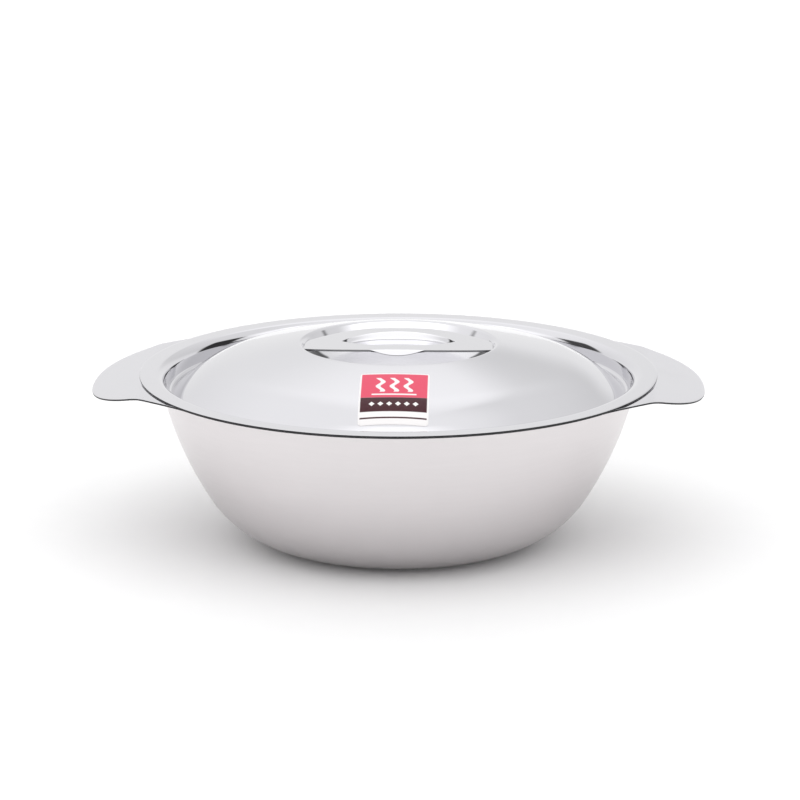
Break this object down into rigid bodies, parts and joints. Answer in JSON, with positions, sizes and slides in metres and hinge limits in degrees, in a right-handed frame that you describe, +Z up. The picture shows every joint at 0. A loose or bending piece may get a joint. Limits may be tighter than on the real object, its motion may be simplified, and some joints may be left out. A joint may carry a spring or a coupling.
{
  "type": "lidded soup bowl",
  "caption": "Round stainless steel soup bowl with a drooping ear on each side, a lift-off domed lid with a strap grip across a dish, and a paper label.",
  "frame": {"origin": "centre of the bowl's flat base, on the table", "axes": "+Z up, +X along the two ears, the label on the lid faces -Y"},
  "size_m": [0.2842, 0.2402, 0.0948],
  "materials": {
    "satin_steel": "satin outside, polished flange and ears",
    "polished_steel": "mirror polish",
    "label_paper": "glossy printed paper"
  },
  "bodies": {
    "bowl": {"bowl": "satin_steel"},
    "lid": {"lid": "polished_steel", "grip_strap": "polished_steel", "label": "label_paper"}
  },
  "joints": [
    {"name": "lid_lift", "type": "slide", "parent": "bowl", "child": "lid", "axis": [0, 0, 1], "range_m": [0, 0.15]}
  ]
}
